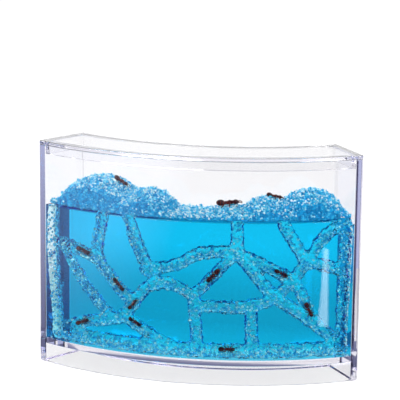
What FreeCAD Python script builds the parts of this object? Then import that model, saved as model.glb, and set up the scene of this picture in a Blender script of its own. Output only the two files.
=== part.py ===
import FreeCAD
import Part
import math
import os

# Ant habitat: a clear arc-shaped case with a lift-off lid, a block of food gel with dug tunnels,
# heaps of dug-out crumbs on the gel, and the ants. Millimetres, +Z up.
# The origin is on the ground, under the middle of the case's bounding box. The convex front faces -Y.

# --- case moulding ---
case_width = 170.0  # straight across the front corners
case_depth = 32.0  # outside of the front wall to outside of the rear wall
front_radius = 158.0  # outside of the front wall
rim_height = 117.0  # ground to rim
wall = 3.0
floor_thickness = 3.0
plinth_height = 10.0  # open skirt under the floor
corner_radius = 1.6  # outside upright corners
cavity_corner_radius = 1.0  # inside upright corners
foot_radius = 1.2  # outside edge that meets the ground
rim_radius = 0.4  # both edges of the rim

# --- lid moulding ---
lid_thickness = 2.0
lid_edge_radius = 0.6
skirt_depth = 5.0  # reach of the locating skirt below the rim
skirt_wall = 2.0
lid_clearance = 0.3  # skirt to the inside of the case

# --- food gel ---
gel_height = 72.3
gel_clearance = 0.2  # gel and crumbs to the inside of the case
tunnel_radius = 3.3
tunnel_axis_depth = 1.8  # behind the gel's front face, so that each tunnel is open to the glass
chamber_radius = 3.7  # where tunnels meet or turn
chamber_depth = 3.0  # back of a chamber behind the tunnels' centre lines
gallery_radius = 3.9  # the gallery along the floor
gallery_chamber_radius = 4.3  # swellings of the gallery
gallery_sill = 1.0  # gel left under the gallery

# --- crumb heaps ---
bed_thickness = 2.2  # crumbs strewn all over the gel
heap_gap = 0.3  # between one heap and the next

# --- ants ---
ant_length = 8.5  # jaws to tail, without the antennae
limb_thickness = 0.26
body_sides = 6
seat_gap = 0.25  # feet to what the ant stands on

# Tunnels: the places that each one passes, as (across, up). Across runs from -1 at the gel's left
# end to 1 at its right end, and up from 0 at the gel's base to 1 at its top.
tunnels = {
    "left_shaft": [(-0.94, 1.0), (-0.95, 0.74), (-0.93, 0.43), (-0.90, 0.07)],
    "left_branch": [(-0.95, 0.74), (-0.79, 0.72), (-0.59, 0.66)],
    "second_shaft": [(-0.57, 1.0), (-0.59, 0.66), (-0.51, 0.54), (-0.36, 0.37)],
    "left_slope": [(-0.86, 0.73), (-0.73, 0.51), (-0.53, 0.27)],
    "third_shaft": [(-0.39, 1.0), (-0.33, 0.79), (-0.20, 0.53)],
    "saddle": [(-0.27, 0.63), (-0.09, 0.68), (0.06, 0.77), (0.28, 0.79)],
    "middle_shaft": [(0.28, 1.0), (0.28, 0.79)],
    "inner_slope": [(0.28, 0.79), (0.02, 0.46)],
    "middle_slope": [(0.28, 0.79), (0.50, 0.47)],
    "outer_slope": [(0.28, 0.79), (0.63, 0.58)],
    "arch": [(-0.36, 0.37), (-0.24, 0.52), (-0.13, 0.54), (0.02, 0.46)],
    "centre_drop": [(0.02, 0.46), (0.05, 0.07)],
    "long_ramp": [(0.98, 1.0), (0.82, 0.90), (0.72, 0.74), (0.52, 0.47), (0.37, 0.40), (0.06, 0.39)],
    "right_drop": [(0.37, 0.40), (0.38, 0.07)],
    "right_spur": [(0.56, 0.98), (0.70, 0.71)],
    "right_link": [(0.72, 0.71), (0.94, 0.64)],
    "right_shaft": [(0.95, 0.90), (0.94, 0.43), (0.93, 0.09)],
    "right_slope": [(0.63, 0.58), (0.77, 0.26)],
    "low_slope": [(0.50, 0.47), (0.78, 0.24), (0.93, 0.09)],
    "low_left": [(-0.88, 0.09), (-0.70, 0.18), (-0.43, 0.27), (-0.36, 0.37)],
    "low_middle": [(-0.43, 0.27), (-0.13, 0.09)],
}
gallery_stops = [-0.90, -0.60, -0.30, 0.0, 0.30, 0.60, 0.93]

# Domes of the heaps: across (as above), height over the gel and radius of the base.
domes = {
    "left": (-0.66, 16.0, 24.0),
    "left_shoulder": (-0.32, 12.0, 17.0),
    "middle": (0.245, 5.5, 14.0),
    "right_shoulder": (0.47, 10.0, 15.0),
    "right": (0.76, 13.5, 18.0),
}
heap_cuts = {"left": -0.10, "right": 0.30}  # across, where one heap ends and the next begins

# Ants in tunnels: tunnel, run of it, share of that run, facing (1 forward, -1 back), size.
tunnel_ants = [
    ("left_branch", 1, 0.35, 1, 1.0),
    ("second_shaft", 2, 0.30, -1, 1.0),
    ("inner_slope", 0, 0.55, 1, 1.1),
    ("outer_slope", 0, 0.78, 1, 0.9),
    ("low_left", 2, 0.80, 1, 0.8),
    ("low_middle", 0, 0.25, 1, 0.9),
    ("low_left", 0, 0.85, 1, 1.0),
    ("right_slope", 0, 0.70, 1, 1.0),
    ("gallery", 3, 0.75, 1, 1.0),
]
# Ants on the crumbs: dome, lean from its top in degrees (positive to the right), facing, size.
heap_ants = [
    ("left", 24.0, 1, 1.0),
    ("middle", -6.0, 1, 1.35),
    ("right_shoulder", 12.0, 1, 0.95),
]

# --- sizes that follow ---
half_angle = math.asin(case_width / 2 / front_radius)
rear_radius = front_radius - case_depth
axis_y = (front_radius + rear_radius * math.cos(half_angle)) / 2  # axis that both curved walls share
floor_top = plinth_height + floor_thickness
gel_inset = wall + gel_clearance
gel_top = floor_top + gel_height
gel_front_radius = front_radius - gel_inset
tunnel_axis_radius = gel_front_radius - tunnel_axis_depth
gel_half_angle = half_angle - math.asin(gel_inset / gel_front_radius)
cavity_mid_radius = (front_radius + rear_radius) / 2
gallery_up = (gallery_radius + gallery_sill) / gel_height
overrun = 1.0  # how far a cutting tool runs past the face that it opens


def polar(radius, angle, z=0.0):
    """The point at a radius and angle about the shared axis; angle 0 faces the front."""
    return FreeCAD.Vector(radius * math.sin(angle), axis_y - radius * math.cos(angle), z)


def block(inset, low, high, corner):
    """The case's plan with every side moved inwards by inset, as a solid with rounded uprights."""
    front = front_radius - inset
    rear = rear_radius + inset
    front_angle = half_angle - math.asin(inset / front)
    rear_angle = half_angle - math.asin(inset / rear)
    front_right = polar(front, front_angle, low)
    front_left = polar(front, -front_angle, low)
    rear_right = polar(rear, rear_angle, low)
    rear_left = polar(rear, -rear_angle, low)
    outline = Part.Wire([
        Part.Arc(front_left, polar(front, 0, low), front_right).toShape(),
        Part.makeLine(front_right, rear_right),
        Part.Arc(rear_right, polar(rear, 0, low), rear_left).toShape(),
        Part.makeLine(rear_left, front_left),
    ])
    solid = Part.Face(outline).extrude(FreeCAD.Vector(0, 0, high - low))
    uprights = [edge for edge in solid.Edges if edge.BoundBox.ZLength > (high - low) / 2]
    return solid.makeFillet(corner, uprights)


def round_level(solid, radius, level):
    """Round the edges that lie flat at one level."""
    edges = []
    for edge in solid.Edges:
        box = edge.BoundBox
        if abs(box.ZMin - level) < 1e-6 and abs(box.ZMax - level) < 1e-6:
            edges.append(edge)
    return solid.makeFillet(radius, edges)


def make_case():
    """Walls, floor and plinth, moulded in one piece."""
    outside = block(0, 0, rim_height, corner_radius)
    outside = round_level(outside, min(foot_radius, 0.8 * corner_radius), 0.0)
    cavity = block(wall, floor_top, rim_height + overrun, cavity_corner_radius)
    hollow = block(wall, -overrun, plinth_height, cavity_corner_radius)
    body = outside.cut([cavity, hollow])
    return round_level(body, min(rim_radius, 0.3 * wall), rim_height)


def make_lid():
    """A plate that rests on the rim, with a locating skirt that drops inside the walls."""
    plate = block(0, rim_height, rim_height + lid_thickness, corner_radius)
    plate = round_level(plate, min(lid_edge_radius, 0.4 * lid_thickness), rim_height + lid_thickness)
    outer = wall + lid_clearance
    inner = outer + skirt_wall
    bottom = rim_height - skirt_depth
    skirt = block(outer, bottom, rim_height + lid_thickness / 2, cavity_corner_radius)
    recess = block(inner, bottom - overrun, rim_height, cavity_corner_radius)
    return plate.fuse(skirt).cut(recess).removeSplitter()


def spot(across, up):
    """A place on the sheet that the tunnels' centre lines lie on."""
    return polar(tunnel_axis_radius, across * gel_half_angle, floor_top + up * gel_height)


def tunnel_points(name):
    """The places that a tunnel, or the gallery along the floor, passes."""
    if name == "gallery":
        return [spot(across, gallery_up) for across in gallery_stops]
    return [spot(across, up) for across, up in tunnels[name]]


def chamber(point, radius):
    """A round pocket cut in from the glass, about a place on the tunnels' sheet."""
    outward = FreeCAD.Vector(point.x, point.y - axis_y, 0).normalize()
    back = point - outward * chamber_depth
    return Part.makeCylinder(radius, chamber_depth + tunnel_axis_depth + overrun, back, outward)


def runs(points, radius):
    """A round bore from each place to the next."""
    return [Part.makeCylinder(radius, (end - start).Length, start, end - start)
            for start, end in zip(points, points[1:])]


def dig_tools():
    """All that the ants have dug: chambers, tunnels and the gallery along the floor."""
    gallery = tunnel_points("gallery")
    tools = [chamber(point, gallery_chamber_radius) for point in gallery]
    tools += runs(gallery, gallery_radius)
    places = {place for route in tunnels.values() for place in route}
    tools += [chamber(spot(*place), chamber_radius) for place in sorted(places)]
    for name in tunnels:
        tools += runs(tunnel_points(name), tunnel_radius)
    return tools


def make_gel():
    """The gel as cast in the case, less the tunnels."""
    gel = block(gel_inset, floor_top, gel_top, cavity_corner_radius)
    for tool in dig_tools():
        gel = gel.cut(tool)
    return gel


def dome_sphere(name):
    """Centre and radius of the sphere whose top is a dome of a heap."""
    across, height, base = domes[name]
    radius = (height ** 2 + base ** 2) / (2 * height)
    return polar(cavity_mid_radius, across * gel_half_angle, gel_top + height - radius), radius


def make_heaps():
    """The crumbs on the gel, as three heaps: their bed, their domes and the cuts between them."""
    tallest = max(height for across, height, base in domes.values())
    room = block(gel_inset, gel_top, gel_top + tallest + overrun, cavity_corner_radius)
    heap = block(gel_inset, gel_top, gel_top + bed_thickness, cavity_corner_radius)
    for name in domes:
        centre, radius = dome_sphere(name)
        heap = heap.fuse(Part.makeSphere(radius, centre).common(room))
    for across in heap_cuts.values():
        slot = Part.makeBox(heap_gap, 2 * case_depth, tallest + 2 * overrun)
        slot.translate(FreeCAD.Vector(-heap_gap / 2, -cavity_mid_radius - case_depth, gel_top - overrun))
        slot.rotate(FreeCAD.Vector(), FreeCAD.Vector(0, 0, 1), math.degrees(across * gel_half_angle))
        slot.translate(FreeCAD.Vector(0, axis_y, 0))
        heap = heap.cut(slot)
    pieces = sorted(heap.Solids, key=lambda solid: solid.CenterOfMass.x)
    return dict(zip(["crumb_heap_left", "crumb_heap_middle", "crumb_heap_right"], pieces))


def bar(start, end, thickness):
    """A square bar from one point to another, for a limb."""
    run = end - start
    solid = Part.makeBox(thickness, thickness, run.Length)
    solid.translate(FreeCAD.Vector(-thickness / 2, -thickness / 2, 0))
    turn = FreeCAD.Rotation(FreeCAD.Vector(0, 0, 1), run)
    solid.Placement = FreeCAD.Placement(start, turn).multiply(solid.Placement)
    return solid


def ant_section(x, radius, height):
    """One station of the ant's body, a polygon across its length."""
    corners = []
    for side in range(body_sides + 1):
        angle = 2 * math.pi * side / body_sides
        corners.append(FreeCAD.Vector(x, radius * math.cos(angle), height + radius * math.sin(angle)))
    return Part.makePolygon(corners)


def make_ant():
    """One ant, facing +X, standing on z = 0. Every share below is of its length."""
    size = ant_length
    carriage = 0.15 * size  # height of the body's middle line over the feet
    beads = [  # middle, half length and radius of the tail, the waist, the chest and the head
        (-0.32, 0.19, 0.135),
        (-0.10, 0.035, 0.045),
        (0.10, 0.15, 0.08),
        (0.36, 0.13, 0.105),
    ]
    sections = []
    for middle, half_length, radius in beads:
        for share in (-0.94, -0.4, 0.4, 0.94):
            girth = radius * math.sqrt(1 - share ** 2)
            sections.append(ant_section((middle + share * half_length) * size, girth * size, carriage))
    body = Part.makeLoft(sections, True, True)
    limbs = []
    for side in (-1, 1):
        for hip, knee, foot in ((0.02, -0.10, -0.30), (0.09, 0.10, 0.06), (0.16, 0.26, 0.40)):
            hip_point = FreeCAD.Vector(hip * size, 0.03 * side * size, carriage)
            knee_point = FreeCAD.Vector(knee * size, 0.15 * side * size, 0.21 * size)
            foot_point = FreeCAD.Vector(foot * size, 0.23 * side * size, limb_thickness / 2)
            limbs += [bar(hip_point, knee_point, limb_thickness), bar(knee_point, foot_point, limb_thickness)]
        brow = FreeCAD.Vector(0.44 * size, 0.05 * side * size, carriage)
        elbow = FreeCAD.Vector(0.53 * size, 0.12 * side * size, 0.19 * size)
        tip = FreeCAD.Vector(0.64 * size, 0.08 * side * size, 0.14 * size)
        limbs += [bar(brow, elbow, 0.8 * limb_thickness), bar(elbow, tip, 0.7 * limb_thickness)]
    return body.fuse(limbs)


def stand(ant, size, place, heading, up):
    """A copy of the ant at a place, facing along heading with its back towards up."""
    side = up.cross(heading)
    axes = FreeCAD.Matrix(
        heading.x, side.x, up.x, place.x,
        heading.y, side.y, up.y, place.y,
        heading.z, side.z, up.z, place.z,
        0, 0, 0, 1,
    )
    copy = ant.copy()
    copy.scale(size)
    copy.Placement = FreeCAD.Placement(axes)
    return copy


def ant_in_tunnel(ant, name, run, share, facing, size):
    """An ant on the back wall of a tunnel, its back towards the glass."""
    points = tunnel_points(name)
    start, end = points[run], points[run + 1]
    radius = gallery_radius if name == "gallery" else tunnel_radius
    middle = start + (end - start) * share
    heading = (end - start).normalize() * facing
    outward = FreeCAD.Vector(middle.x, middle.y - axis_y, 0).normalize()
    up = (outward - heading * outward.dot(heading)).normalize()
    spread = (0.23 * ant_length + limb_thickness) * size
    seat = math.sqrt((radius - seat_gap) ** 2 - spread ** 2)
    return stand(ant, size, middle - up * seat, heading, up)


def ant_on_heap(ant, name, lean, facing, size):
    """An ant on a dome of a heap, as many degrees from its top as lean says."""
    centre, radius = dome_sphere(name)
    angle = math.asin((centre.x) / cavity_mid_radius)
    along = FreeCAD.Vector(math.cos(angle), math.sin(angle), 0)
    tilt = math.radians(lean)
    up = along * math.sin(tilt) + FreeCAD.Vector(0, 0, math.cos(tilt))
    heading = (along * math.cos(tilt) - FreeCAD.Vector(0, 0, math.sin(tilt))) * facing
    return stand(ant, size, centre + up * (radius + seat_gap), heading, up)


def make_ants():
    """All the ants, first those on the crumbs and then those in the tunnels."""
    ant = make_ant()
    shapes = [ant_on_heap(ant, *seat) for seat in heap_ants]
    shapes += [ant_in_tunnel(ant, *seat) for seat in tunnel_ants]
    return {"ant_%02d" % (number + 1): shape for number, shape in enumerate(shapes)}


nodes = {"case": make_case(), "lid": make_lid(), "gel_block": make_gel()}
nodes.update(make_heaps())
nodes.update(make_ants())
os.makedirs("parts", exist_ok=True)
for name, shape in nodes.items():
    shape.exportStep("parts/%s.step" % name)
    print(name, len(shape.Solids), shape.isValid(), round(shape.Volume, 1))
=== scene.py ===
import math
import random

import bmesh
import bpy
from mathutils import Matrix, Vector, noise


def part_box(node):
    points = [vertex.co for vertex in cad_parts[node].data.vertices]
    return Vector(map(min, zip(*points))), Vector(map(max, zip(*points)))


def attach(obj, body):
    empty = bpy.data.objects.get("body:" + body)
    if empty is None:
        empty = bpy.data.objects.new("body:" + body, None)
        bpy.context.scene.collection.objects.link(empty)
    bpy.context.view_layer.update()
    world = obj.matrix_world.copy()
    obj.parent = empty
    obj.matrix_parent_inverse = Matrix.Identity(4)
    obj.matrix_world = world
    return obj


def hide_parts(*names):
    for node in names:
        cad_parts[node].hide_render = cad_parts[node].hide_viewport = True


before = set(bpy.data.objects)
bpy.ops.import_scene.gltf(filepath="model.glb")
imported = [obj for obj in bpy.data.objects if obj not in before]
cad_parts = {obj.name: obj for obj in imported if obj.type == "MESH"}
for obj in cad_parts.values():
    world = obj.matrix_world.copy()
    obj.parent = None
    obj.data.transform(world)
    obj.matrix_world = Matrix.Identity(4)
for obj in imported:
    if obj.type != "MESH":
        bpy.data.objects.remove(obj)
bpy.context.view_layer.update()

# Ant habitat: clear arc-shaped case with a lift-off lid, food gel with dug tunnels, crumb heaps and
# ants. Metres. The two curved walls share one upright axis behind the case; the front faces -Y.

mm = 0.001

# --- levels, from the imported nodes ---
rim_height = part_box("case")[1].z
lid_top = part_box("lid")[1].z
floor_top, gel_top = (corner.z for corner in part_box("gel_block"))

# --- case and lid ---
case_width = 170 * mm  # straight across the front corners, before they are rounded
case_depth = 32 * mm
front_radius = 158 * mm
wall = 3 * mm
plinth_height = 10 * mm  # open space under the floor
corner_radius = 1.6 * mm  # outside upright corners
cavity_corner_radius = 1 * mm  # inside upright corners
foot_radius = 1.2 * mm  # outside edge that meets the ground
rim_radius = 0.4 * mm
mould_radius = 0.25 * mm  # every other edge of the mouldings
lid_seat = 0.08 * mm  # air between the rim and the plate that lies on it
lid_edge_radius = 0.6 * mm
skirt_depth = 5 * mm  # reach of the locating skirt below the rim
skirt_wall = 2 * mm
lid_clearance = 0.3 * mm  # skirt to the inside of the case
band_steps = 96  # along each curved wall
spare_angle = math.radians(1.5)  # by which a curved wall is spun past its end and trimmed
facet_lean = math.radians(2)  # a face that leans less than this from a curved wall is part of it

# --- gel and tunnels ---
gel_clearance = 0.2 * mm  # gel and crumbs to the inside of the case
gel_edge_radius = 0.5 * mm
tunnel_radius = 3.3 * mm
tunnel_axis_depth = 1.8 * mm  # behind the gel's front face, so that a tunnel is open to the wall
tunnel_girths = (0.98, 1.14)  # a tunnel's radius varies between these shares
chamber_radius = 3.8 * mm  # where tunnels meet or turn
chamber_girths = (0.95, 1.1)
gallery_radius = 3.9 * mm  # the gallery along the floor
gallery_chamber_radius = 4.4 * mm
gallery_sill = 1 * mm  # gel left under the gallery
tunnel_voxel = 0.5 * mm
dug_grains = [(4.2 * mm, 0.7 * mm), (2.0 * mm, 0.4 * mm), (1.1 * mm, 0.45 * mm)]  # size, relief
dug_face_area = 4 * tunnel_voxel ** 2  # the most that a face in a tunnel measures
flat_face_area = 20 * mm ** 2  # the least that a flat face of the block measures

# --- crumbs ---
bed_thickness = 2.2 * mm  # crumbs strewn all over the gel
crumb_relief = 0.7 * mm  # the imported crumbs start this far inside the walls
room_height = 30 * mm  # over the gel, more than the heaps need
heap_voxel = 1.2 * mm
crumb_voxel = 0.62 * mm
lump_size = 3.4 * mm
grain_size = 1.5 * mm
grain_relief = 0.6 * mm
skin_room = 0.1 * mm  # packed crumbs to the walls
skin_lift = 0.05 * mm  # packed crumbs to the gel
tunnel_crumb_count = 7000
tunnel_crumb_sizes = (0.6 * mm, 1.7 * mm)
heap_crumb_count = 9000
heap_crumb_sizes = (0.5 * mm, 1.4 * mm)
heap_fringe = 1.4 * mm  # how far the loosest crumbs stand off the heaps
crumb_stretch = (0.7, 1.3)
chip_shapes = 5  # different crumbs that all the loose ones are copies of
speck_size = 0.9 * mm  # specks of another tone on the crumbs

# --- ants ---
ant_length = 8.5 * mm  # jaws to tail, without the antennae
limb_thickness = 0.26 * mm
seat_gap = 0.25 * mm  # feet to what the ant stands on
foot_reach = 0.23  # from the middle of the body sideways, as a share of the ant's length
body_level = 0.18  # middle of the body over its feet, as a share of the ant's length

# --- studio ---
front_reflection_tint = "#38385C"  # painted reflection: tint of a card that only the clear walls mirror, in front
side_reflection_tint = "#C0C6E6"  # and at both sides
front_card_edge = 0.05  # the floor mirrors as card where y is less than this
side_card_edge, side_card_flare = 0.04, 0.6  # or where x is more than the edge, and flare * y, outwards
card_change_back = (0.0, 0.12)  # from the front tint to the side tint, along y
card_change_left = (-0.1, -0.28)  # and along x
world_card_change = (-0.7, 0.5)  # from painted card to white, in what the clear pieces mirror, by the y of a direction
seen_glow, clear_glow = 0.65, 0.85  # share of white glow on the floor, seen bare and through clear pieces
painted_shadow_depth = -0.5  # painted shadow of the case on the floor behind it, seen only through clear pieces
painted_shadow_start, painted_shadow_end = (0.04, 0.1), (0.14, 0.3)  # where the painted shadow starts and ends, along y
camera_place = (0.1825, -1.0269, 0.3261)
camera_yaw, camera_pitch, camera_roll = 0.175368, 0.221444, 0.0124218
camera_lens = 186.48  # for a sensor 36 wide

# Tunnels: the places that each one passes, as (across, up). Across runs from -1 at the gel's left
# end to 1 at its right end, and up from 0 at the gel's base to 1 at its top.
tunnels = {
    "left_shaft": [(-0.94, 1.0), (-0.95, 0.74), (-0.93, 0.43), (-0.90, 0.07)],
    "left_branch": [(-0.95, 0.74), (-0.79, 0.72), (-0.59, 0.66)],
    "second_shaft": [(-0.57, 1.0), (-0.59, 0.66), (-0.51, 0.54), (-0.36, 0.37)],
    "left_slope": [(-0.86, 0.73), (-0.73, 0.51), (-0.53, 0.27)],
    "third_shaft": [(-0.39, 1.0), (-0.33, 0.79), (-0.20, 0.53)],
    "saddle": [(-0.27, 0.63), (-0.09, 0.68), (0.06, 0.77), (0.28, 0.79)],
    "middle_shaft": [(0.28, 1.0), (0.28, 0.79)],
    "inner_slope": [(0.28, 0.79), (0.02, 0.46)],
    "middle_slope": [(0.28, 0.79), (0.50, 0.47)],
    "outer_slope": [(0.28, 0.79), (0.63, 0.58)],
    "arch": [(-0.36, 0.37), (-0.24, 0.52), (-0.13, 0.54), (0.02, 0.46)],
    "centre_drop": [(0.02, 0.46), (0.05, 0.07)],
    "long_ramp": [(0.98, 1.0), (0.82, 0.90), (0.72, 0.74), (0.52, 0.47), (0.37, 0.40), (0.06, 0.39)],
    "right_drop": [(0.37, 0.40), (0.38, 0.07)],
    "right_spur": [(0.56, 0.98), (0.70, 0.71)],
    "right_link": [(0.72, 0.71), (0.94, 0.64)],
    "right_shaft": [(0.95, 0.90), (0.94, 0.43), (0.93, 0.09)],
    "right_slope": [(0.63, 0.58), (0.77, 0.26)],
    "low_slope": [(0.50, 0.47), (0.78, 0.24), (0.93, 0.09)],
    "low_left": [(-0.88, 0.09), (-0.70, 0.18), (-0.43, 0.27), (-0.36, 0.37)],
    "low_middle": [(-0.43, 0.27), (-0.13, 0.09)],
}
gallery_stops = [-0.90, -0.60, -0.30, 0.0, 0.30, 0.60, 0.93]

# Domes of the heaps: across (as above), height over the gel and radius of the base in mm.
domes = {
    "left": (-0.66, 16.0, 24.0),
    "left_shoulder": (-0.32, 12.0, 17.0),
    "middle": (0.245, 5.5, 14.0),
    "right_shoulder": (0.47, 10.0, 15.0),
    "right": (0.76, 13.5, 18.0),
}

# Ants in tunnels: tunnel, run of it, share of that run, facing (1 forward, -1 back), size.
tunnel_ants = [
    ("left_branch", 1, 0.35, 1, 1.0),
    ("second_shaft", 2, 0.30, -1, 1.0),
    ("inner_slope", 0, 0.55, 1, 1.1),
    ("outer_slope", 0, 0.78, 1, 0.9),
    ("low_left", 2, 0.80, 1, 0.8),
    ("low_middle", 0, 0.25, 1, 0.9),
    ("low_left", 0, 0.85, 1, 1.0),
    ("right_slope", 0, 0.70, 1, 1.0),
    ("gallery", 3, 0.75, 1, 1.0),
]
# Ants on the crumbs: dome, lean from its top in degrees (positive to the right), facing, size.
heap_ants = [
    ("left", 24.0, 1, 1.0),
    ("middle", -6.0, 1, 1.35),
    ("right_shoulder", 12.0, 1, 0.95),
]

# --- sizes that follow ---
half_angle = math.asin(case_width / 2 / front_radius)
rear_radius = front_radius - case_depth
axis_y = (front_radius + rear_radius * math.cos(half_angle)) / 2  # axis that both curved walls share
cavity_middle_radius = (front_radius + rear_radius) / 2
gel_inset = wall + gel_clearance
gel_height = gel_top - floor_top
gel_front_radius = front_radius - gel_inset
gel_rear_radius = rear_radius + gel_inset
tunnel_axis_radius = gel_front_radius - tunnel_axis_depth
gel_half_angle = half_angle - math.asin(gel_inset / gel_front_radius)
gallery_up = (gallery_radius + gallery_sill) / gel_height

chance = random.Random(12)


# ---------- places ----------

def polar(radius, angle, z=0.0):
    """The point at a radius and angle about the shared axis; angle 0 faces the front."""
    return Vector((radius * math.sin(angle), axis_y - radius * math.cos(angle), z))


def radius_of(point):
    """How far a point is from the shared axis."""
    return math.hypot(point.x, point.y - axis_y)


def angle_of(point):
    """A point's angle about the shared axis."""
    return math.atan2(point.x, axis_y - point.y)


def spot(across, up):
    """A place on the sheet that the tunnels' centre lines lie on."""
    return polar(tunnel_axis_radius, across * gel_half_angle, floor_top + up * gel_height)


def tunnel_points(name):
    """The places that a tunnel, or the gallery along the floor, passes."""
    if name == "gallery":
        return [spot(across, gallery_up) for across in gallery_stops]
    return [spot(across, up) for across, up in tunnels[name]]


def dome_sphere(name):
    """Centre and radius of the sphere whose top is a dome of a heap."""
    across, height, base = domes[name]
    radius = (height ** 2 + base ** 2) / (2 * height) * mm
    return polar(cavity_middle_radius, across * gel_half_angle, gel_top + height * mm - radius), radius


# ---------- working with meshes ----------

def pick(obj):
    """Make one object the only one selected, and the active one."""
    bpy.ops.object.select_all(action="DESELECT")
    obj.select_set(True)
    bpy.context.view_layer.objects.active = obj


def settle(obj):
    """Put an object's place, turn and size into its mesh."""
    pick(obj)
    bpy.ops.object.transform_apply(location=True, rotation=True, scale=True)


def duplicate(obj, name):
    """A copy of a piece with its own mesh."""
    copy = obj.copy()
    copy.data = obj.data.copy()
    copy.name = name
    bpy.context.collection.objects.link(copy)
    return copy


def join(objects, name):
    """Join several objects into one."""
    pick(objects[0])
    for obj in objects[1:]:
        obj.select_set(True)
    bpy.ops.object.join()
    objects[0].name = name
    return objects[0]


def modify(obj, kind, **settings):
    """Add a modifier with its settings and apply it."""
    pick(obj)
    modifier = obj.modifiers.new(kind.title(), kind)
    for name, value in settings.items():
        setattr(modifier, name, value)
    bpy.ops.object.modifier_apply(modifier=modifier.name)


def carve(obj, tool, operation="DIFFERENCE", solver="EXACT"):
    """Cut a tool from a piece, or combine them in another way, and take the tool away."""
    modify(obj, "BOOLEAN", object=tool, operation=operation, solver=solver)
    bpy.data.objects.remove(tool)


def bevel_where(obj, wanted, radius, segments):
    """Round the sharp edges whose two ends pass a test."""
    pick(obj)
    bpy.ops.object.mode_set(mode="EDIT")
    bpy.ops.mesh.select_mode(type="EDGE")
    bpy.ops.mesh.select_all(action="DESELECT")
    form = bmesh.from_edit_mesh(obj.data)
    for edge in form.edges:
        sharp = edge.calc_face_angle(0) > math.radians(40)
        edge.select_set(sharp and wanted(edge.verts[0].co, edge.verts[1].co))
    bmesh.update_edit_mesh(obj.data)
    bpy.ops.mesh.bevel(offset=radius, segments=segments, affect="EDGES")
    bpy.ops.object.mode_set(mode="OBJECT")


def on_level(level):
    """A test for edges that lie flat at one level."""
    return lambda a, b: abs(a.z - level) < 1e-6 and abs(b.z - level) < 1e-6


def upright(a, b):
    """A test for edges that stand upright."""
    return abs(a.x - b.x) + abs(a.y - b.y) < 1e-6


def end_plane(side, inset):
    """A point on, and the outward direction of, one end of the case moved inwards by inset."""
    outward = Vector((side * math.cos(half_angle), math.sin(half_angle), 0))
    return polar(front_radius, side * half_angle) - outward * inset, outward


def band(name, inset, low, high, corner):
    """The case's plan with every side moved inwards by inset: a section spun about the shared axis,
    trimmed flat at both ends, with rounded uprights."""
    front = front_radius - inset
    rear = rear_radius + inset
    start = -half_angle - spare_angle
    bpy.ops.object.select_all(action="DESELECT")
    middle = polar((front + rear) / 2, start, (low + high) / 2)
    bpy.ops.mesh.primitive_plane_add(size=1, location=middle, rotation=(0, math.pi / 2, start))
    piece = bpy.context.object
    piece.name = name
    piece.scale = (high - low, front - rear, 1)
    settle(piece)
    bpy.ops.object.mode_set(mode="EDIT")
    bpy.ops.mesh.select_all(action="SELECT")
    bpy.ops.mesh.delete(type="ONLY_FACE")
    bpy.ops.mesh.select_all(action="SELECT")
    bpy.ops.mesh.spin(steps=band_steps, angle=-2 * start, center=(0, axis_y, 0), axis=(0, 0, -1))
    for side in (-1, 1):
        place, outward = end_plane(side, inset)
        bpy.ops.mesh.select_all(action="SELECT")
        bpy.ops.mesh.bisect(plane_co=place, plane_no=outward, use_fill=True, clear_outer=True)
    bpy.ops.mesh.select_all(action="SELECT")
    bpy.ops.mesh.normals_make_consistent(inside=False)
    bpy.ops.object.mode_set(mode="OBJECT")
    bevel_where(piece, upright, corner, 5)
    return piece


def soften(obj, angle=35):
    """Smooth shading, with creases left at the sharper edges."""
    pick(obj)
    bpy.ops.object.shade_smooth_by_angle(angle=math.radians(angle))


def away(point):
    """The level direction from the shared axis to a point."""
    return Vector((point.x, point.y - axis_y, 0)).normalized()


def wall_side(face):
    """1 for a facet of a curved wall that looks away from the shared axis, -1 for one that looks at it,
    and 0 for every other face."""
    share = face.normal.dot(away(face.center))
    return round(share) if abs(share) > math.cos(facet_lean) else 0


def true_up(obj):
    """Give the large faces of a clear piece their own direction, and the curved walls the exact one at
    every corner, so that they bend no view."""
    modify(obj, "WEIGHTED_NORMAL", weight=90, keep_sharp=True)
    mesh = obj.data
    corners = [corner.vector.copy() for corner in mesh.corner_normals]
    for face in mesh.polygons:
        side = wall_side(face)
        if side:
            for corner in face.loop_indices:
                point = mesh.vertices[mesh.loops[corner].vertex_index].co
                corners[corner] = away(point) * side
    mesh.normals_split_custom_set(corners)


def pebble(point, size):
    """Height of a surface of rounded grains at a point, 1 on a grain's top and about 0 between."""
    distances = noise.voronoi(point / size)[0]
    return 1 - 1.5 * distances[0]


def roughen(obj, layers):
    """Move each point along its normal, by grains of several sizes, and by about nothing on average."""
    average = 0.35
    normals = [vertex.normal.copy() for vertex in obj.data.vertices]
    for vertex, normal in zip(obj.data.vertices, normals):
        height = sum(relief * (pebble(vertex.co, size) - average) for size, relief in layers)
        vertex.co += normal * height
    obj.data.update()


def note(obj, name, value):
    """Note a value at each point of a piece: a number, or what a function gives for the point."""
    layer = obj.data.attributes.new(name, "FLOAT", "POINT")
    for vertex in obj.data.vertices:
        layer.data[vertex.index].value = value(vertex.co) if callable(value) else value


# ---------- materials ----------

def colour(code):
    """An sRGB hex colour as linear red, green, blue and alpha."""
    shares = [int(code[place:place + 2], 16) / 255 for place in (1, 3, 5)]
    linear = [s / 12.92 if s <= 0.04045 else ((s + 0.055) / 1.055) ** 2.4 for s in shares]
    return (*linear, 1.0)


def add(tree, kind, inputs=None, stops=None, **settings):
    """Add a node. An input is a value for its socket, or another node's output to link to it."""
    node = tree.nodes.new(kind)
    for name, value in settings.items():
        setattr(node, name, value)
    for place, (position, code) in enumerate(stops or []):
        if place >= len(node.color_ramp.elements):
            node.color_ramp.elements.new(position)
        node.color_ramp.elements[place].position = position
        node.color_ramp.elements[place].color = colour(code)
    for name, value in (inputs or {}).items():
        if isinstance(value, bpy.types.NodeSocket):
            tree.links.new(value, node.inputs[name])
        else:
            node.inputs[name].default_value = value
    return node


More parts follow.
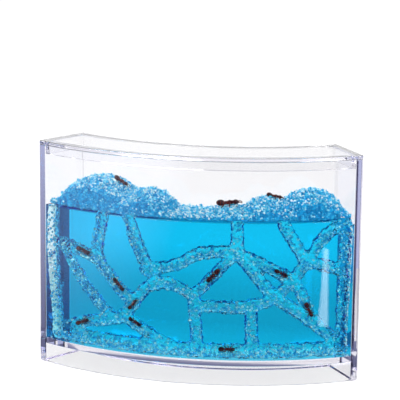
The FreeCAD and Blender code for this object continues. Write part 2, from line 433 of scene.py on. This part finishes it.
def work_out(tree, operation, *values):
    """The result of one sum on values, each a number or another node's output."""
    return add(tree, "ShaderNodeMath", dict(enumerate(values)), operation=operation).outputs[0]


def change(tree, value, span, levels=(0.0, 1.0), interpolation="LINEAR"):
    """A result that goes from one level to the other while a value crosses a span."""
    return add(tree, "ShaderNodeMapRange", {
        "Value": value,
        "From Min": span[0], "From Max": span[1],
        "To Min": levels[0], "To Max": levels[1],
    }, interpolation_type=interpolation).outputs[0]


def new_material(name):
    """An empty material: itself, its node tree and its output node."""
    material = bpy.data.materials.new(name)
    material.use_nodes = True
    tree = material.node_tree
    tree.nodes.clear()
    return material, tree, add(tree, "ShaderNodeOutputMaterial")


def clear_body(name, bending, tint, density):
    """A clear, smooth material that bends light as much as said, and tints what crosses it. The
    density is per metre."""
    material, tree, output = new_material(name)
    shader = add(tree, "ShaderNodeBsdfPrincipled", {
        "Base Color": colour("#FFFFFF"),
        "Roughness": 0.0,
        "IOR": bending,
        "Transmission Weight": 1.0,
    })
    dye = add(tree, "ShaderNodeVolumeAbsorption", {"Color": colour(tint), "Density": density})
    tree.links.new(shader.outputs["BSDF"], output.inputs["Surface"])
    tree.links.new(dye.outputs["Volume"], output.inputs["Volume"])
    return material


def clear_polystyrene(name):
    """Crystal polystyrene, injection moulded and polished: water-clear, bright at its edges, with a
    breath of violet where light runs along a wall."""
    return clear_body(name, 1.49, "#E4DCF6", 12.0)


def food_gel():
    """Clear food gel, dyed blue and cast in the case: wet, glossy and deeper in colour where the
    light crosses more of it."""
    return clear_body("cast_blue_gel", 1.34, "#8CF7FE", 299.0)


def crumb_finish(name, tones, roughness):
    """Crumbs of gel that the ants have bitten off: wet grains, each a little paler or deeper than the
    next. On the loose crumbs of the heaps the tone also holds painted light, paler where they look up."""
    material, tree, output = new_material(name)
    tone = add(tree, "ShaderNodeAttribute", attribute_name="tone")
    place = add(tree, "ShaderNodeTexCoord")
    specks = add(tree, "ShaderNodeTexVoronoi", {
        "Vector": place.outputs["Object"], "Scale": 1 / speck_size,
    })
    speck = add(tree, "ShaderNodeSeparateColor", {"Color": specks.outputs["Color"]})
    total = work_out(tree, "ADD", tone.outputs["Fac"], speck.outputs["Red"])
    average = work_out(tree, "MULTIPLY", total, 0.5)
    skin = add(tree, "ShaderNodeValToRGB", {"Fac": average}, stops=tones)
    shader = add(tree, "ShaderNodeBsdfPrincipled", {
        "Base Color": skin.outputs["Color"],
        "Roughness": roughness,
        "IOR": 1.34,
    })
    tree.links.new(shader.outputs["BSDF"], output.inputs["Surface"])
    return material


def ant_shell():
    """Chitin: thin, hard and glossy, near-black brown with a red cast, amber between the plates."""
    material, tree, output = new_material("chitin")
    amber = add(tree, "ShaderNodeAttribute", attribute_name="amber")
    skin = add(tree, "ShaderNodeValToRGB", {"Fac": amber.outputs["Fac"]}, stops=[
        (0.0, "#160402"), (0.5, "#561A08"), (1.0, "#B45A1A"),
    ])
    shader = add(tree, "ShaderNodeBsdfPrincipled", {
        "Base Color": skin.outputs["Color"],
        "Roughness": 0.35,
        "Specular IOR Level": 0.25,
    })
    tree.links.new(shader.outputs["BSDF"], output.inputs["Surface"])
    return material


def dress(obj, material):
    """Give a piece one material."""
    obj.data.materials.clear()
    obj.data.materials.append(material)


# ---------- case and lid ----------

def make_case():
    """Walls, floor and open plinth, moulded in one piece."""
    case = band("clear_case", 0, 0, rim_height, corner_radius)
    bevel_where(case, on_level(0), foot_radius, 4)
    carve(case, band("cavity", wall, floor_top, rim_height + wall, cavity_corner_radius))
    carve(case, band("hollow", wall, -wall, plinth_height, cavity_corner_radius))
    bevel_where(case, on_level(rim_height), rim_radius, 3)
    bevel_where(case, on_level(floor_top), mould_radius, 2)
    bevel_where(case, on_level(plinth_height), mould_radius, 2)
    soften(case)
    true_up(case)
    return case


def make_lid():
    """A plate that rests on the rim, with a locating skirt that drops inside the walls."""
    lid = band("clear_lid", 0, rim_height + lid_seat, lid_top, corner_radius)
    bevel_where(lid, on_level(lid_top), lid_edge_radius, 3)
    bevel_where(lid, on_level(rim_height + lid_seat), mould_radius, 2)
    outer = wall + lid_clearance
    inner = outer + skirt_wall
    bottom = rim_height - skirt_depth
    carve(lid, band("skirt", outer, bottom, rim_height + 1 * mm, cavity_corner_radius), "UNION")
    carve(lid, band("recess", inner, bottom - wall, rim_height + lid_seat, cavity_corner_radius))
    bevel_where(lid, on_level(bottom), mould_radius, 2)
    soften(lid)
    true_up(lid)
    return lid


# ---------- loose crumbs ----------

def make_chip(level, jitter):
    """One small crumb, a lopsided ball of few faces."""
    bpy.ops.object.select_all(action="DESELECT")
    bpy.ops.mesh.primitive_ico_sphere_add(subdivisions=level, radius=1)
    chip = bpy.context.object
    chip.name = "chip"
    for vertex in chip.data.vertices:
        vertex.co *= chance.uniform(1 - jitter, 1 + jitter)
    return chip


def strew(name, seats, chips):
    """Many crumbs in one mesh: each seat gives the place, the size and the tone of a crumb."""
    form = bmesh.new()
    tone = form.verts.layers.float.new("tone")
    for place, size, shade in seats:
        start = len(form.verts)
        form.from_mesh(chance.choice(chips).data)
        form.verts.ensure_lookup_table()
        angle = chance.uniform(0, math.tau)
        pole = Vector((chance.uniform(-1, 1), chance.uniform(-1, 1), chance.uniform(-1, 1))).normalized()
        turn = Matrix.Rotation(angle, 3, pole)
        length, width = (size * chance.uniform(*crumb_stretch) for side in range(2))
        stretch = Matrix.Diagonal((length, width, size))
        for vertex in form.verts[start:]:
            vertex.co = place + turn @ (stretch @ vertex.co)
            vertex[tone] = shade
    mesh = bpy.data.meshes.new(name)
    form.to_mesh(mesh)
    form.free()
    obj = bpy.data.objects.new(name, mesh)
    bpy.context.collection.objects.link(obj)
    return obj


def hold_inside(obj, room, lowest=floor_top):
    """Push back the points that have gone through the case's walls or below a level."""
    ends = [end_plane(side, gel_inset + room) for side in (-1, 1)]
    for vertex in obj.data.vertices:
        point = vertex.co.copy()
        for place, outward in ends:
            point -= outward * max(0.0, (point - place).dot(outward))
        radius = radius_of(point)
        kept = min(max(radius, gel_rear_radius + room), gel_front_radius - room)
        if kept != radius:
            point = polar(kept, angle_of(point), point.z)
        vertex.co = Vector((point.x, point.y, max(point.z, lowest)))


# ---------- gel ----------

def tube(name, points, radius):
    """A closed tube of changing girth along a smooth line through some points."""
    data = bpy.data.curves.new(name, "CURVE")
    data.dimensions = "3D"
    data.resolution_u = 8
    data.bevel_depth = radius
    data.bevel_resolution = 4
    data.use_fill_caps = True
    spline = data.splines.new("BEZIER")
    spline.bezier_points.add(len(points) - 1)
    for knot, point in zip(spline.bezier_points, points):
        knot.co = point
        knot.handle_left_type = "AUTO"
        knot.handle_right_type = "AUTO"
        knot.radius = chance.uniform(*tunnel_girths)
    obj = bpy.data.objects.new(name, data)
    bpy.context.collection.objects.link(obj)
    pick(obj)
    bpy.ops.object.convert(target="MESH")
    return bpy.context.object


def ball(name, place, radius, level=3):
    """A round lump."""
    bpy.ops.object.select_all(action="DESELECT")
    bpy.ops.mesh.primitive_ico_sphere_add(subdivisions=level, radius=radius, location=place)
    bpy.context.object.name = name
    settle(bpy.context.object)
    return bpy.context.object


def make_diggings():
    """The space that the ants have dug, as one lumpy solid that runs out through the gel's front."""
    solids = [tube(name, tunnel_points(name), tunnel_radius) for name in tunnels]
    gallery = tunnel_points("gallery")
    solids.append(tube("gallery", gallery, gallery_radius))
    solids += [ball("swelling", point, gallery_chamber_radius) for point in gallery]
    for place in sorted({place for route in tunnels.values() for place in route}):
        solids.append(ball("chamber", spot(*place), chamber_radius * chance.uniform(*chamber_girths)))
    diggings = join(solids, "diggings")
    modify(diggings, "REMESH", mode="VOXEL", voxel_size=tunnel_voxel)
    modify(diggings, "SMOOTH", factor=0.5, iterations=6)
    roughen(diggings, dug_grains)
    return diggings


def make_gel(diggings):
    """The gel as cast in the case, less the tunnels. Its walls and its flat faces are shaded flat, so
    that the rounded mouths of the tunnels bend no view through them."""
    gel = band("gel", gel_inset, floor_top, gel_top, cavity_corner_radius)
    bevel_where(gel, on_level(gel_top), gel_edge_radius, 3)
    carve(gel, diggings, solver="MANIFOLD")
    soften(gel, 50)
    for face in gel.data.polygons:
        if wall_side(face) or face.area > flat_face_area:
            face.use_smooth = False
    return gel


def dug_faces(gel):
    """The gel's own faces that line the tunnels, as (middle, normal, area)."""
    faces = []
    margin = 0.3 * mm
    for face in gel.data.polygons:
        radius = radius_of(face.center)
        inside = gel_rear_radius + margin < radius < gel_front_radius - margin
        level = floor_top + margin < face.center.z < gel_top - margin
        if inside and level and face.area < dug_face_area:
            faces.append((face.center.copy(), face.normal.copy(), face.area))
    return faces


def make_tunnel_crumbs(gel, chips):
    """Crumbs that stick to the dug surfaces, most of them where a tunnel's lower flank holds them."""
    faces = dug_faces(gel)
    weights = [area * (0.25 + max(0.0, normal.z) * 1.6) for middle, normal, area in faces]
    seats = []
    for middle, normal, area in chance.choices(faces, weights, k=tunnel_crumb_count):
        size = chance.uniform(*tunnel_crumb_sizes) / 2
        seats.append((middle + normal * size * 0.6, size, chance.random()))
    crumbs = strew("tunnel_crumbs", seats, chips)
    hold_inside(crumbs, 0.0)
    return crumbs


# ---------- heaps ----------

def make_heap_skin():
    """All the crumbs as one rough skin: their bed and their domes, inside the walls."""
    inset = gel_inset + crumb_relief
    base = gel_top + 0.8 * crumb_relief
    solids = [band("bed", inset, base, gel_top + bed_thickness, cavity_corner_radius)]
    for name in domes:
        centre, radius = dome_sphere(name)
        solids.append(ball(name, centre, radius, 4))
    skin = join(solids, "crumbs")
    modify(skin, "REMESH", mode="VOXEL", voxel_size=heap_voxel)
    carve(skin, band("room", inset, base, gel_top + room_height, cavity_corner_radius), "INTERSECT")
    modify(skin, "REMESH", mode="VOXEL", voxel_size=crumb_voxel)
    roughen(skin, [(lump_size, grain_relief), (grain_size, grain_relief)])
    hold_inside(skin, skin_room, gel_top + skin_lift)
    soften(skin, 60)
    note(skin, "tone", lambda point: max(0.0, min(1.0, pebble(point, lump_size))))
    return skin


def make_heap_crumbs(skin, chips):
    """Loose crumbs on the heaps, the palest of them on top as painted light from above."""
    faces = [face for face in skin.data.polygons if face.normal.z > -0.3]
    weights = [face.area * (0.35 + max(0.0, face.normal.z)) for face in faces]
    seats = []
    for face in chance.choices(faces, weights, k=heap_crumb_count):
        rise = max(0.0, face.normal.z)
        size = chance.uniform(*heap_crumb_sizes) / 2
        lift = chance.uniform(0.2, 1.0) * size + chance.random() ** 4 * heap_fringe * rise
        # painted light: crumbs on faces that look up get a paler tone, as if lit from above
        shade = chance.uniform(0.0, 0.65) + 0.55 * rise
        seats.append((face.center + face.normal * lift, size, shade))
    crumbs = strew("loose_crumbs", seats, chips)
    hold_inside(crumbs, 0.0, gel_top)
    return crumbs


# ---------- ants ----------

def bead(x, half_length, half_width, half_height, level, amber, drop=0.0):
    """One rounded part of the body. Every measure is a share of the ant's length, and the drop turns
    the part's front end down by that many radians."""
    bpy.ops.object.select_all(action="DESELECT")
    bpy.ops.mesh.primitive_uv_sphere_add(segments=20, ring_count=14, radius=1)
    part = bpy.context.object
    part.rotation_euler = (0, math.pi / 2, 0)
    bpy.ops.object.transform_apply(rotation=True)
    part.scale = (half_length, half_width, half_height)
    part.location = (x, 0, level)
    part.rotation_euler = (0, drop, 0)
    settle(part)
    note(part, "amber", amber)
    return part


def limb(points, thicknesses, amber):
    """A jointed limb that tapers as its thicknesses say."""
    data = bpy.data.curves.new("limb", "CURVE")
    data.dimensions = "3D"
    data.bevel_depth = 1
    data.bevel_resolution = 1
    data.use_fill_caps = True
    spline = data.splines.new("POLY")
    spline.points.add(len(points) - 1)
    for knot, point, thickness in zip(spline.points, points, thicknesses):
        knot.co = (*point, 1)
        knot.radius = thickness / 2
    obj = bpy.data.objects.new("limb", data)
    bpy.context.collection.objects.link(obj)
    pick(obj)
    bpy.ops.object.convert(target="MESH")
    note(bpy.context.object, "amber", amber)
    return bpy.context.object


def tail_bands(point):
    """How amber the tail is, in bands across it."""
    return 0.75 * (0.5 + 0.5 * math.cos((point.x + 0.32) / 0.19 * 9)) ** 2


def make_ant():
    """One ant, facing +X and standing on z = 0, one unit long from jaws to tail."""
    level = body_level
    parts = [
        bead(-0.32, 0.195, 0.145, 0.14, level + 0.02, tail_bands, 0.12),
        bead(-0.10, 0.045, 0.055, 0.085, level, 0.5),  # waist
        bead(-0.01, 0.09, 0.085, 0.08, level + 0.005, 0.55),
        bead(0.08, 0.09, 0.095, 0.10, level + 0.02, 0.35),
        bead(0.18, 0.085, 0.085, 0.085, level + 0.01, 0.45),
        bead(0.35, 0.135, 0.125, 0.105, level + 0.01, 0.2, 0.15),  # head
        bead(0.39, 0.03, 0.125, 0.03, level + 0.035, 0.0),  # both eyes
    ]
    sole = limb_thickness / ant_length / 2
    for side in (-1, 1):
        jaw = [(0.45, 0.05 * side, level - 0.02), (0.49, 0.055 * side, level - 0.03),
               (0.52, 0.01 * side, level - 0.04)]
        parts.append(limb(jaw, [0.035, 0.03, 0.008], 0.4))
        antenna = [(0.43, 0.045 * side, level + 0.03), (0.53, 0.13 * side, 0.20),
                   (0.58, 0.12 * side, 0.17), (0.64, 0.10 * side, 0.13)]
        parts.append(limb(antenna, [0.035, 0.032, 0.04, 0.03], 0.4))
        for hip_x, knee_x, foot_x in ((0.02, -0.10, -0.30), (0.09, 0.10, 0.06), (0.16, 0.26, 0.40)):
            hip = Vector((hip_x, 0.03 * side, level - 0.03))
            knee = Vector((knee_x, 0.15 * side, 0.21))
            foot = Vector((foot_x, foot_reach * side, sole))
            leg = [hip, hip.lerp(knee, 0.5), knee, knee.lerp(foot, 0.62), foot]
            parts.append(limb(leg, [0.085, 0.08, 0.06, 0.048, 0.036], 0.45))
    ant = join(parts, "ant")
    soften(ant, 60)
    return ant


def stand(ant, name, size, place, heading, up):
    """A copy of the ant at a place, facing along heading with its back towards up."""
    side = up.cross(heading)
    axes = Matrix((heading, side, up)).transposed().to_4x4()
    copy = duplicate(ant, name)
    copy.data.transform(Matrix.Translation(place) @ axes @ Matrix.Scale(size * ant_length, 4))
    return copy


def tunnel_seat(name, run, share, facing, size):
    """Where an ant stands on the back wall of a tunnel, its back towards the case's front wall."""
    points = tunnel_points(name)
    start, end = points[run], points[run + 1]
    radius = gallery_radius if name == "gallery" else tunnel_radius
    middle = start.lerp(end, share)
    heading = (end - start).normalized() * facing
    outward = away(middle)
    up = (outward - heading * outward.dot(heading)).normalized()
    spread = (foot_reach * ant_length + limb_thickness) * size
    depth = math.sqrt((radius - seat_gap) ** 2 - spread ** 2)
    return size, middle - up * depth, heading, up


def heap_seat(name, lean, facing, size):
    """Where an ant stands on a dome of a heap, as many degrees from its top as lean says."""
    centre, radius = dome_sphere(name)
    angle = math.asin(centre.x / cavity_middle_radius)
    along = Vector((math.cos(angle), math.sin(angle), 0))
    tilt = math.radians(lean)
    up = along * math.sin(tilt) + Vector((0, 0, math.cos(tilt)))
    heading = (along * math.cos(tilt) - Vector((0, 0, math.sin(tilt)))) * facing
    return size, centre + up * (radius + seat_gap), heading, up


def make_ants():
    """All the ants, first those on the crumbs and then those in the tunnels."""
    ant = make_ant()
    seats = [heap_seat(*seat) for seat in heap_ants] + [tunnel_seat(*seat) for seat in tunnel_ants]
    ants = [stand(ant, "worker_%02d" % (number + 1), *seat) for number, seat in enumerate(seats)]
    bpy.data.objects.remove(ant)
    return ants


# ---------- studio ----------

def in_gloss(tree):
    """1 for what a glossy surface mirrors, on its outside or inside, and 0 for everything else."""
    seen = add(tree, "ShaderNodeLightPath")
    mirrored = work_out(tree, "GREATER_THAN", seen.outputs["Glossy Depth"], 0.5)
    sharp = work_out(tree, "LESS_THAN", seen.outputs["Diffuse Depth"], 0.5)
    return work_out(tree, "MULTIPLY", mirrored, sharp)


def axes_of(tree, place):
    """The x and the y of a place, as two outputs."""
    parts = add(tree, "ShaderNodeSeparateXYZ", {"Vector": place})
    return parts.outputs["X"], parts.outputs["Y"]


def painted_reflection_card(tree, x, y):
    """A painted reflection: a dark card that only the gloss of the case mirrors, in front and at both
    sides, and that neither the eye nor the light meets: where it is, and its glow."""
    front = work_out(tree, "LESS_THAN", y, front_card_edge)
    edge = work_out(tree, "MULTIPLY_ADD", y, side_card_flare, side_card_edge)
    beside = work_out(tree, "GREATER_THAN", work_out(tree, "ABSOLUTE", x), edge)
    either = work_out(tree, "MAXIMUM", front, beside)
    pale = work_out(tree, "MAXIMUM", change(tree, y, card_change_back), change(tree, x, card_change_left))
    tint = add(tree, "ShaderNodeValToRGB", {"Fac": pale}, stops=[
        (0.0, front_reflection_tint), (1.0, side_reflection_tint),
    ])
    glow = add(tree, "ShaderNodeEmission", {"Color": tint.outputs["Color"], "Strength": 1.0})
    return work_out(tree, "MULTIPLY", either, in_gloss(tree)), glow


def make_floor():
    """A plain white floor, which fades to white for the eye and keeps a soft shadow. Behind the case a
    painted shadow, seen only through the clear pieces, makes it less bright and deepens the gel towards
    its base."""
    bpy.ops.object.select_all(action="DESELECT")
    bpy.ops.mesh.primitive_plane_add(size=12, location=(0, 2, -0.02 * mm))
    floor = bpy.context.object
    floor.name = "studio_floor"
    settle(floor)
    material, tree, output = new_material("white_paper")
    x, y = axes_of(tree, add(tree, "ShaderNodeTexCoord").outputs["Object"])
    seen = add(tree, "ShaderNodeLightPath")
    bare, clear = seen.outputs["Is Camera Ray"], seen.outputs["Is Transmission Ray"]
    # painted shadow of the case on the floor behind it, for rays that come through clear pieces only
    shade = work_out(tree, "MULTIPLY", change(tree, y, painted_shadow_end, (painted_shadow_depth, 0.0), "SMOOTHSTEP"),
                     change(tree, y, painted_shadow_start))
    level = work_out(tree, "MULTIPLY_ADD", clear, shade, 1.0)
    share = work_out(tree, "MULTIPLY_ADD", bare, seen_glow, work_out(tree, "MULTIPLY", clear, clear_glow))
    paper = add(tree, "ShaderNodeBsdfDiffuse", {"Color": colour("#FFFFFF")})
    glow = add(tree, "ShaderNodeEmission", {"Color": colour("#FFFFFF"), "Strength": level})
    white = add(tree, "ShaderNodeMixShader", {0: share, 1: paper.outputs[0], 2: glow.outputs[0]})
    # painted reflection: the floor shows the dark card only to what the clear pieces mirror
    mirrored, card = painted_reflection_card(tree, x, y)
    whole = add(tree, "ShaderNodeMixShader", {0: mirrored, 1: white.outputs[0], 2: card.outputs[0]})
    tree.links.new(whole.outputs[0], output.inputs["Surface"])
    dress(floor, material)


def make_world():
    """Even white light from all round. Only in what the gloss of the case mirrors is it painted as dark
    card in front and at both sides, a painted reflection."""
    world = bpy.data.worlds.new("studio")
    bpy.context.scene.world = world
    world.use_nodes = True
    tree = world.node_tree
    tree.nodes.clear()
    output = add(tree, "ShaderNodeOutputWorld")
    y = axes_of(tree, add(tree, "ShaderNodeTexCoord").outputs["Generated"])[1]
    # painted reflection: directions in front turn to dark card only for what the clear pieces mirror
    mirrored = work_out(tree, "MULTIPLY", change(tree, y, world_card_change, (1.0, 0.0)), in_gloss(tree))
    light = add(tree, "ShaderNodeValToRGB", {"Fac": mirrored}, stops=[
        (0.0, "#FFFFFF"), (0.3, side_reflection_tint), (1.0, front_reflection_tint),
    ])
    glow = add(tree, "ShaderNodeBackground", {"Color": light.outputs["Color"], "Strength": 1.0})
    tree.links.new(glow.outputs[0], output.inputs["Surface"])


def make_lamps():
    """A large soft box high on the left, a weaker one on the right, and a strip that lies in front on
    the right and shows as a pale stripe in the curved front."""
    for name, place, aim, size, watts in (
        ("key", (-0.5, -0.5, 0.9), (0.5, 0.5, -0.84), (0.6, 0.6), 15.0),
        ("fill", (0.7, -0.3, 0.6), (-0.7, 0.3, -0.54), (0.6, 0.6), 7.0),
        ("strip", (0.2, -0.145, 0.002), (0.01, -0.01, 1), (0.012, 0.19), 0.02),
    ):
        bpy.ops.object.light_add(type="AREA", location=place)
        lamp = bpy.context.object
        lamp.name = name
        lamp.data.shape = "RECTANGLE"
        lamp.data.size, lamp.data.size_y = size
        lamp.data.energy = watts
        lamp.visible_camera = False
        lamp.rotation_euler = Vector(aim).to_track_quat("-Z", "Y").to_euler()


def make_camera():
    """The camera, a little right of the front and above the rim, with a long lens."""
    bpy.ops.object.camera_add(location=camera_place)
    camera = bpy.context.object
    turn = Matrix.Rotation(camera_yaw, 3, "Z") @ Matrix.Rotation(math.pi / 2 - camera_pitch, 3, "X")
    camera.rotation_euler = (turn @ Matrix.Rotation(camera_roll, 3, "Z")).to_euler()
    camera.data.sensor_width = 36
    camera.data.lens = camera_lens
    bpy.context.scene.camera = camera


def set_light_paths():
    """Let light run far along the clear walls, where it is turned back many times."""
    paths = bpy.context.scene.cycles
    paths.max_bounces = 40
    paths.transmission_bounces = 40
    paths.glossy_bounces = 12


# ---------- putting it together ----------

def place_piece(piece, body, slot, *nodes):
    """Let a piece ride on its body and stand for its nodes. The slot is not used."""
    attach(piece, body)
    if nodes:
        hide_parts(*nodes)


case = make_case()
dress(case, clear_polystyrene("clear_polystyrene_case"))
place_piece(case, "case", "clear_case", "case")

lid = make_lid()
dress(lid, clear_polystyrene("clear_polystyrene_lid"))
place_piece(lid, "lid", "clear_lid", "lid")

gel = make_gel(make_diggings())
dress(gel, food_gel())
place_piece(gel, "case", "gel", "gel_block")

chips = [make_chip(1, 0.3) for number in range(chip_shapes)]
tunnel_crumbs = make_tunnel_crumbs(gel, chips)
dress(tunnel_crumbs, crumb_finish("crumbs_in_tunnels", [
    (0.2, "#0CA4E4"), (0.45, "#30CCFC"), (0.65, "#6CEAFF"), (0.85, "#C0FCFF"),
], 0.3))
place_piece(tunnel_crumbs, "case", "crumbs")

heaps = make_heap_skin()
heap_crumbs = make_heap_crumbs(heaps, chips)
dress(heaps, crumb_finish("packed_crumbs", [
    (0.1, "#0080C4"), (0.35, "#0098D8"), (0.6, "#00B4F0"), (0.85, "#58DCFC"),
], 0.6))
dress(heap_crumbs, crumb_finish("crumbs_on_heaps", [
    (0.2, "#0094D4"), (0.5, "#08B4EC"), (0.7, "#60DCF8"), (0.88, "#F0FFFF"),
], 0.4))
place_piece(heaps, "case", "crumbs", "crumb_heap_left", "crumb_heap_middle", "crumb_heap_right")
place_piece(heap_crumbs, "case", "crumbs")
for chip in chips:
    bpy.data.objects.remove(chip)

chitin = ant_shell()
for number, ant in enumerate(make_ants()):
    dress(ant, chitin)
    place_piece(ant, "case", "ant_shell", "ant_%02d" % (number + 1))

make_floor()
make_world()
make_lamps()
make_camera()
set_light_paths()
bpy.context.scene.view_settings.view_transform = "Standard"
